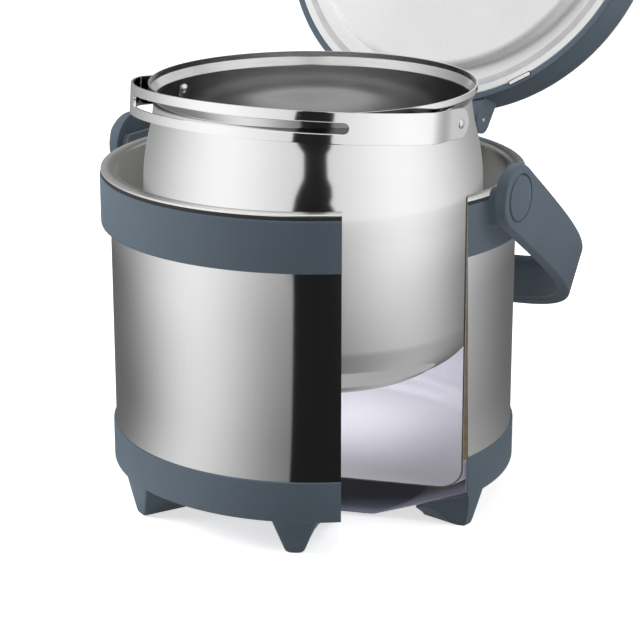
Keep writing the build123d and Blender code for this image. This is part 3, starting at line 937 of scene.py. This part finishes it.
def make_ears():
    """The two ears on the lid's rear that turn on the rod."""
    root = HINGE_Y - 15.0
    high = LID_LOW + 20.0
    points = [(root, LID_LOW + 2.4), (root, high), (root + 0.4, high)]
    outline = hull_outline((HINGE_Y, HINGE_Z), EAR_R, points, steps=56)
    pieces = []
    for side, word in ((-1, "left"), (1, "right")):
        bm = bmesh.new()
        add_prism(bm, outline, side * EAR_IN, side * EAR_OUT)
        pieces.append(bevelled(finish_mesh(f"lid_ear_{word}", bm, lid_turn()), 0.7))
    return pieces


def make_liner():
    """The pale inner face of the lid, with its shallow plug."""
    low = LID_LOW - PLUG_DEPTH
    inner = PLUG_R - LINER_T
    back = LID_LOW + LINER_T
    points = [
        (0, low), (PLUG_R, low), (PLUG_R, LID_LOW), (LINER_R, LID_LOW), (LINER_R, back),
        (inner, back), (inner, low + LINER_T), (0, low + LINER_T),
    ]
    loop = rounded(points, {1: 5.0, 2: 1.5, 3: 0.5, 6: 3.5})
    return turned("lid_liner_face", loop, turn=lid_turn())


def make_seal():
    """The soft ring in the liner's rim, a little proud of it."""
    low = LID_LOW - 0.02
    high = low + SEAL_T
    points = [(SEAL_IN, low), (SEAL_OUT, low), (SEAL_OUT, high), (SEAL_IN, high)]
    return turned("lid_seal_ring", rounded(points, {0: 0.5, 1: 0.5}, steps=4), turn=lid_turn())


def make_rim_bar():
    """The small flat bar on the lid's rim, and a dark strip round it as painted shade round the bar's edge.
    """
    turn = lid_turn() @ Matrix.Rotation(RIM_BAR_ANGLE, 4, "Z") @ Matrix.Translation((0, -RIM_BAR_R, 0))
    pieces = []
    # The thin dark strip round the bar is painted shade.
    for name, half, wide, proud in (("lid_rim_bar", 7.4, 1.1, 0.28), ("lid_rim_bar_line", 8.0, 1.7, 0.12)):
        bm = bmesh.new()
        add_prism(bm, box_outline(half, -wide, wide, 0.5), LID_LOW - proud, LID_LOW + 1.0, axis="z")
        pieces.append(finish_mesh(name, bm, turn))
    return pieces


# Carry handle

def tipped(z, angle):
    """The turn that tips a piece about a pivot line at a height."""
    return Matrix.Translation((0, 0, z)) @ Matrix.Rotation(-angle, 4, "X")


def arch_point(half, reach, turn):
    """A point on the squared oval, as its place across and along the handle."""
    across = math.copysign(abs(math.cos(turn)) ** (2 / HANDLE_N), math.cos(turn)) * half
    along = math.sin(turn) ** (2 / HANDLE_N) * reach
    return across, along


def handle_half(along):
    """Half of the handle's width at a distance from its pivots."""
    if along < 0:
        return math.sqrt(max(HANDLE_END_R ** 2 - along * along, 0.0))
    return HANDLE_END_R - (HANDLE_END_R - HANDLE_GRIP_HALF) * along / HANDLE_B


def handle_stations():
    """Outer and inner points of the band from its right end round to its left."""
    right = []
    for k in range(1, 25):
        along = -HANDLE_END_R * math.cos(math.pi / 2 * k / 24)
        right.append(((HANDLE_A, along), (HANDLE_A - HANDLE_WALL, along)))
    count = 200
    middle = []
    for k in range(1, count):
        share = k / count
        turn = math.pi * share + 0.075 * math.sin(2 * math.tau * share)
        outer = arch_point(HANDLE_A, HANDLE_B, turn)
        inner = arch_point(HANDLE_A - HANDLE_WALL, HANDLE_B - HANDLE_WALL, turn)
        middle.append((outer, inner))
    left = [((-o[0], o[1]), (-i[0], i[1])) for o, i in reversed(right)]
    return right + middle + left


def handle_section(half, deep):
    """The band's outline across it: depth from the outer face, and width."""
    edge = min(2.0, 0.45 * half)
    skin = min(CHANNEL_SKIN, 0.5 * half)
    small = min(0.9, 0.3 * skin)
    inner = min(0.9, 0.45 * deep)
    floor = HANDLE_WALL - deep
    wide = half - skin
    points = [
        (0, -half), (0, half), (HANDLE_WALL, half), (HANDLE_WALL, wide),
        (floor, wide), (floor, -wide), (HANDLE_WALL, -wide), (HANDLE_WALL, -half),
    ]
    rounds = (edge, edge, small, small, inner, inner, small, small)
    return rounded(points, dict(enumerate(rounds)), steps=5)


def make_handle():
    """The broad moulded handle with a channel along its inner side."""
    bm = bmesh.new()
    rows = []
    for outer, inner in handle_stations():
        start = min(max((outer[1] - CHANNEL_START) / 5.0, 0.0), 1.0)
        deep = 0.02 + (HANDLE_WALL - CHANNEL_SKIN - 0.02) * start * start * (3 - 2 * start)
        row = []
        for p in handle_section(max(handle_half(outer[1]), 0.4), deep):
            share = p.x / HANDLE_WALL
            x = outer[0] + (inner[0] - outer[0]) * share
            y = outer[1] + (inner[1] - outer[1]) * share
            row.append(bm.verts.new((x, y, p.y)))
        rows.append(row)
    add_solid(bm, rows)
    handle = finish_mesh("carry_handle_band", bm, tipped(PIVOT_Z, HANDLE_HANG))
    bore = CAP_R + CAP_GROOVE
    for side in (-1, 1):
        bm = bmesh.new()
        start = side * (HANDLE_A - CAP_DEPTH)
        end = side * (HANDLE_A + 5)
        add_bar(bm, [(start, 0), (start, bore), (end, bore), (end, 0)], 0, 0, 96)
        cut_by(handle, finish_mesh("cap_tool", bm, tipped(PIVOT_Z, HANDLE_HANG)))
    return handle


def make_caps():
    """The two round caps over the handle's pivots."""
    soft = 0.7
    bm = bmesh.new()
    for side in (-1, 1):
        start = side * (HANDLE_A - CAP_DEPTH)
        face = side * (HANDLE_A + 0.4)
        line = [(start, 0), (start, CAP_R)]
        for k in range(6):
            turn = math.pi / 2 * k / 5
            line.append((face - side * soft * (1 - math.sin(turn)), CAP_R - soft * (1 - math.cos(turn))))
        line.append((face, 0))
        add_bar(bm, line, 0, 0, 96)
    return finish_mesh("handle_cap_discs", bm, tipped(PIVOT_Z, HANDLE_HANG))


# Pot

def pot_line(wall):
    """The pot's side line, made smaller by its wall."""
    low = POT_LOW + POT_BASE_T + wall
    high = POT_LOW + POT_H
    side = POT_R - wall
    neck = POT_NECK_R - wall
    rim = POT_RIM_R - wall
    points = [
        (0, low), (side, low), (side, high - SHOULDER_DROP), (neck, high - NECK_DROP),
        (neck, high - FLARE_DROP), (rim, high - RIM_DROP), (rim, high),
    ]
    rounds = {1: POT_CORNER - wall, 2: POT_SHOULDER_ROUND, 3: POT_NECK_ROUND, 4: 1.0 + wall * 0.3, 5: 1.0}
    return rounded(points, rounds, steps=16)


def make_pot():
    """The steel pot, with a shoulder drawn in to a neck and a flared rim."""
    bm = bmesh.new()
    add_sheet_turned(bm, pot_line(0), pot_line(POT_WALL))
    return finish_mesh("pot_wall", bm)


def make_pot_base():
    """The thin steel dish under the pot and the disc inside it."""
    high = POT_LOW + POT_BASE_T
    low = POT_LOW + SHEET
    side = POT_BASE_R - SHEET
    points = [(0, POT_LOW), (POT_BASE_R, POT_LOW), (POT_BASE_R, high), (side, high), (side, low), (0, low)]
    cover = rounded(points, {1: 2.0, 4: 1.2})
    side -= 0.1
    core = rounded([(0, low), (side, low), (side, high), (0, high)], {1: 2.0})
    return turned("pot_base_dish", cover), turned("pot_base_disc", core)


def make_bosses():
    """The round bosses on the pot's neck that the bail's ends stand on."""
    soft = 0.4
    bm = bmesh.new()
    for side in (-1, 1):
        root = side * (POT_NECK_R - 0.9)
        face = side * (BAIL_END_X - BAIL_T - 0.3)
        line = [(root, 0), (root, BOSS_R), (face - side * soft, BOSS_R), (face, BOSS_R - soft), (face, 0)]
        add_bar(bm, line, 0, BAIL_Z)
    return finish_mesh("bail_boss_pair", bm)


def make_rivets():
    """The two rivets that the bail turns on."""
    turns = [math.pi / 2 * k / 6 for k in range(1, 7)]
    bm = bmesh.new()
    for side in (-1, 1):
        outside = side * (BAIL_END_X + 0.1)
        inside = side * (POT_NECK_R - POT_WALL - 0.1)
        line = [(inside - side * 2.0, 0)]
        line += [(inside - side * 1.9 * math.cos(t), RIVET_R * math.sin(t)) for t in turns]
        line += [(inside, SHANK_R), (outside, SHANK_R), (outside, RIVET_R)]
        line += [(outside + side * 1.2 * math.sin(t), RIVET_R * math.cos(t)) for t in turns]
        add_bar(bm, line, 0, BAIL_Z)
    return finish_mesh("bail_rivet_pair", bm)


def bail_path():
    """Points along the bail, seen from above, from its right end to its left."""
    meet = Vector((BAIL_R * math.sin(BAIL_JOIN), -BAIL_R * math.cos(BAIL_JOIN)))
    lead = Vector((-math.cos(BAIL_JOIN), -math.sin(BAIL_JOIN)))
    start = Vector((BAIL_END_X, -BAIL_STRAIGHT))
    points = [Vector((BAIL_END_X, BAIL_HALF * math.cos(math.pi / 2 * k / 24))) for k in range(25)]
    points += [Vector((BAIL_END_X, -BAIL_STRAIGHT * k / 10)) for k in range(1, 10)]
    pull = (meet - start).length / 3
    a, b, c, d = start, start + Vector((0, -pull)), meet - lead * pull, meet
    for k in range(20):
        t = k / 20
        points.append(a * (1 - t) ** 3 + 3 * b * t * (1 - t) ** 2 + 3 * c * t * t * (1 - t) + d * t ** 3)
    steps = 150
    angles = [BAIL_JOIN - 2 * BAIL_JOIN * k / steps for k in range(steps + 1)]
    for k in range(1, 13):
        past = SLOT_ANGLE + SLOT_HALF / BAIL_R * math.sin(math.pi / 2 * k / 12)
        angles += [past, -past]
    arc = [Vector((BAIL_R * math.sin(a), -BAIL_R * math.cos(a))) for a in sorted(angles, reverse=True)]
    mirror = [Vector((-p.x, p.y)) for p in points]
    return points + arc + mirror[::-1]


def slot_half(p):
    """Half of the slot's height at a point of the bail."""
    past = (abs(math.atan2(p.x, -p.y)) - SLOT_ANGLE) * BAIL_R
    if p.y > -SLOT_FRONT or past >= SLOT_HALF:
        return 0.0
    return math.sqrt(SLOT_HALF ** 2 - max(past, 0.0) ** 2)


def bail_section(half, slot):
    """The outline of the strip's upper half: depth from the outer face, and height."""
    soft = min(0.5, 0.4 * half)
    tip = half - 0.25 * soft
    edge = [(0.0, half - soft), (0.1, tip), (0.4, half)]
    edge += [(BAIL_T - 0.4, half), (BAIL_T - 0.1, tip), (BAIL_T, half - soft)]
    if slot == 0.0:
        return edge + [(BAIL_T, 0.0)] * 2 + [(0.0, 0.0)] * 2
    return edge + [(BAIL_T, slot + 0.3), (BAIL_T - 0.3, slot), (0.3, slot), (0.0, slot + 0.3)]


def make_bail():
    """The flat strip bail with round ends and a long slot."""
    path = bail_path()
    bm = bmesh.new()
    # The strip's inner face is marked for its material's painted shade.
    inside = bm.faces.layers.float.new("inside")
    rows = []
    for k, p in enumerate(path):
        way = (path[min(k + 1, len(path) - 1)] - path[max(k - 1, 0)]).normalized()
        outward = Vector((-way.y, way.x))
        if outward.dot(p) < 0:
            outward = -outward
        half = BAIL_HALF
        if p.y > 0:
            half = math.sqrt(max(BAIL_HALF ** 2 - p.y ** 2, 0.0))
        slot = slot_half(p)
        section = bail_section(max(half, 0.15), slot)
        halves = []
        for sign in (1, -1):
            places = [(p - outward * depth, sign * z) for depth, z in section]
            halves.append([bm.verts.new((q.x, q.y, z)) for q, z in places])
        rows.append((halves, slot > 0.0))
    for (a_halves, a_open), (b_halves, b_open) in zip(rows, rows[1:]):
        for a, b in zip(a_halves, b_halves):
            for k in range(len(a)):
                if not a_open and not b_open and k in SLOT_QUADS:
                    continue
                m = (k + 1) % len(a)
                bm.faces.new((a[k], a[m], b[m], b[k]))[inside] = float(k == INNER_QUAD)
    for ring in rows[0][0] + rows[-1][0]:
        bm.faces.new(ring)
    bail = finish_mesh("pot_bail_strip", bm, tipped(BAIL_Z, BAIL_TILT))
    bail.modifiers.new("Weighted", "WEIGHTED_NORMAL").keep_sharp = True
    return bail


# Build and dress every piece

placed(make_inner_vessel(), "container", "vessel_steel", "inner_vessel")
placed(make_outer_shell(), "container", "body_steel", "outer_shell")
placed(make_pan(), "container", "pan_steel", "outer_bottom")
placed(make_collar(), "container", "grey_plastic", "collar")
placed(make_gasket(), "container", "dark_rubber", "lip_gasket")
base_ring, clipped_foot = make_base_ring()
placed(base_ring, "container", "grey_plastic", "base_ring")
placed(clipped_foot, "container", "grey_plastic")
bracket_pieces = make_bracket()
for piece in bracket_pieces:
    placed(piece, "container", "grey_plastic")
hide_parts("hinge_bracket")
placed(make_rod(), "container", "fitting_steel", "hinge_rod")

placed(make_lid_cover(), "lid", "grey_plastic", "lid_cover")
for piece in make_ears():
    placed(piece, "lid", "grey_plastic")
placed(make_liner(), "lid", "white_plastic", "lid_liner")
placed(make_seal(), "lid", "pale_rubber", "lid_seal")
rim_bar, rim_bar_painted_shade = make_rim_bar()
placed(rim_bar, "lid", "white_plastic")
# The dark strip round the rim bar is painted shade.
placed(rim_bar_painted_shade, "lid", "dark_rubber")

placed(make_handle(), "handle", "grey_plastic", "carry_handle")
placed(make_caps(), "handle", "grey_plastic", "handle_caps")

placed(make_pot(), "pot", "pot_steel", "pot_body")
pot_dish, pot_disc = make_pot_base()
placed(pot_dish, "pot", "pot_steel", "pot_base_cover")
placed(pot_disc, "pot", "base_aluminium", "pot_base_core")
placed(make_bosses(), "pot", "fitting_steel", "bail_bosses")
placed(make_rivets(), "pot", "fitting_steel", "bail_rivets")
placed(make_bail(), "bail", "bail_steel", "pot_bail")

KEPT = {
    "radiation_foil": "foil",
    "vacuum_seal": "fitting_steel",
    "getter": "fitting_steel",
    "handle_pivot_pins": "fitting_steel",
    "lid_foam": "foam",
}
for name, slot in KEPT.items():
    dressed(nodes[name], slot)

# Reflections show the studio, and not the container or its carry handle, as in a cutaway picture.
UNMIRRORED = (
    "inner_vessel", "outer_", "collar", "lip_gasket", "base_ring", "clipped", "radiation", "carry", "handle",
)
for obj in bpy.data.objects:
    if obj.type == "MESH" and obj.name.startswith(UNMIRRORED):
        obj.visible_glossy = False


# Studio, in metres

def glow(angle, dim, *lights):
    """The grey in a direction: a dim room with soft bright sides."""
    return dim + sum(high * math.exp(-((angle - middle) / width) ** 2) for high, middle, width in lights)


def grey_glow(name):
    """A material that shines in the grey painted on the mesh."""
    material, tree = new_material(name)[:2]
    tree.nodes.clear()
    shine = new_node(tree, "Emission", {"Color": painted_share(tree, "grey", "Color")})
    new_node(tree, "OutputMaterial", {"Surface": shine.outputs["Emission"]})
    return material


def fan(name, rows, point_at):
    """A card round the object, seen only in reflections, its grey painted by direction."""
    bm = bmesh.new()
    layer = bm.verts.layers.float_color.new("grey")
    rings = []
    for place, (first, last), tones in rows:
        parts = ((-180, first - BLUR), (first + BLUR, last - BLUR), (last + BLUR, 180))
        ring = []
        for start, end in parts:
            for k in range(FAN_STEPS + 1):
                angle = start + (end - start) * k / FAN_STEPS
                vert = bm.verts.new(point_at(VIEW_SIDE + math.radians(angle), place))
                grey = BLACK if first < angle < last else glow(angle, *tones)
                vert[layer] = (grey, grey, grey, 1)
                ring.append(vert)
        rings.append(ring)
    for low, high in zip(rings, rings[1:]):
        join_rows(bm, low, high)
    mesh = new_mesh(name, bm)
    mesh.materials.append(grey_glow(name))
    obj = new_object(name, mesh)
    obj.visible_camera = False
    obj.visible_diffuse = False
    obj.visible_shadow = False
    obj.visible_transmission = False


def on_floor(turn, radius):
    """A place just above the floor."""
    return at(radius, turn, 0.0015)


def on_wall(turn, height):
    """A place on the round wall of the studio."""
    return at(WALL_R, turn, height)


# Studio cards: each row has its place, the edges of a black card and the light of the room as a
# dim grey with bright sides, each with its height, direction and width. Directions are in
# degrees from the camera's side. The camera looks straight into the opening.
VIEW_SIDE = WINDOW_TURN
WALL_R = 3.0
FLOOR_SIZE = 12.0
FLOOR_GLOW = 0.66
ROOM_GLOW = 0.18
BLACK = 0.014
BLUR = 0.15
FAN_STEPS = 40
DIM_LIGHT = (0.42,)
NEAR_LIGHT = (0.14, (0.68, -56, 31), (0.28, 62, 38))
BODY_LIGHT = (0.13, (0.85, -64, 40), (0.60, 56, 46))
POT_LIGHT = (0.22, (0.80, -64, 42), (0.67, 60, 45))
FAR_LIGHT = (0.30, (0.72, -62, 55), (0.72, 62, 55))
BODY_BLACK = (-9.65, 15.2)
POT_BLACK = (-13.5, 15.5)
NO_BLACK = (0, 0)
FLOOR_ROWS = [
    (0.13, BODY_BLACK, NEAR_LIGHT),
    (0.29, BODY_BLACK, NEAR_LIGHT),
    (0.57, BODY_BLACK, BODY_LIGHT),
    (0.70, BODY_BLACK, POT_LIGHT),
    (0.77, POT_BLACK, POT_LIGHT),
    (0.92, POT_BLACK, FAR_LIGHT),
    (1.1, POT_BLACK, FAR_LIGHT),
    (WALL_R, (-12.0, 11.0), FAR_LIGHT),
]
WALL_ROWS = [
    (0.0, (-12.0, 11.0), FAR_LIGHT),
    (0.2, (-11.0, 12.5), FAR_LIGHT),
    (0.45, (-8.5, 12.0), FAR_LIGHT),
    (0.7, (-6.0, 9.5), FAR_LIGHT),
    (3.2, (-6.0, 9.5), FAR_LIGHT),
]
UNDER_ROWS = [(0.002, NO_BLACK, DIM_LIGHT), (0.13, NO_BLACK, DIM_LIGHT)]
fan("under_card", UNDER_ROWS, on_floor)
fan("floor_card", FLOOR_ROWS, on_floor)
fan("wall_card", WALL_ROWS, on_wall)

bm = bmesh.new()
bmesh.ops.create_grid(bm, x_segments=1, y_segments=1, size=FLOOR_SIZE)
floor = new_object("floor", new_mesh("floor", bm))
material, tree, shader = new_material("floor")
seen = tree.nodes.new("ShaderNodeLightPath").outputs["Is Camera Ray"]
lift = new_node(tree, "Math", {0: seen, 1: FLOOR_GLOW})
lift.operation = "MULTIPLY"
fed(tree, shader, {
    "Base Color": (0.80, 0.80, 0.80, 1),
    "Roughness": 0.9,
    "Specular IOR Level": 0.0,
    "Emission Color": (1, 1, 1, 1),
    "Emission Strength": lift.outputs["Value"],
})
floor.data.materials.append(material)

# The room lights the object dimly, and is white where it is seen, mirrored or looked at through.
world = bpy.data.worlds.new("studio")
bpy.context.scene.world = world
world.use_nodes = True
tree = world.node_tree
tree.nodes.clear()
path = tree.nodes.new("ShaderNodeLightPath")
seen = path.outputs["Is Camera Ray"]
for ray in ("Is Glossy Ray", "Is Transmission Ray"):
    either = new_node(tree, "Math", {0: seen, 1: path.outputs[ray]})
    either.operation = "MAXIMUM"
    seen = either.outputs["Value"]
room = new_node(tree, "Background", {"Color": (0.80, 0.82, 0.85, 1), "Strength": ROOM_GLOW})
white = new_node(tree, "Background", {"Color": (1, 1, 1, 1)})
mix = new_node(tree, "MixShader", {0: seen, 1: room.outputs[0], 2: white.outputs[0]})
new_node(tree, "OutputWorld", {"Surface": mix.outputs[0]})


def soft_light(name, place, target, size, power):
    """A square lamp that faces a point."""
    light = bpy.data.lights.new(name, "AREA")
    light.shape = "SQUARE"
    light.size = size
    light.energy = power
    lamp = new_object(name, light)
    lamp.location = place
    lamp.rotation_euler = (Vector(target) - Vector(place)).to_track_quat("-Z", "Y").to_euler()
    lamp.visible_camera = False
    lamp.visible_glossy = False


soft_light("key_light", (-1.8, -0.9, 1.2), (0, 0, 0.12), 1.3, 55)
soft_light("fill_light", (1.6, 0.4, 1.3), (0, 0, 0.16), 1.0, 19)
soft_light("top_light", (0.0, 0.4, 2.2), (0, 0, 0.1), 1.8, 14)
soft_light("vessel_light", (-0.009, 0.048, 0.0795), (-0.009, 0.048, 0.0), 0.10, 0.062)

# Camera at the photograph's viewing angle
camera_data = bpy.data.cameras.new("camera")
camera_data.lens = 119.4
camera = new_object("camera", camera_data)
camera.location = (0.6683, -1.0617, 0.4968)
camera.rotation_euler = (math.radians(72.6), 0, VIEW_SIDE)
bpy.context.scene.camera = camera
bpy.context.scene.view_settings.view_transform = "Standard"
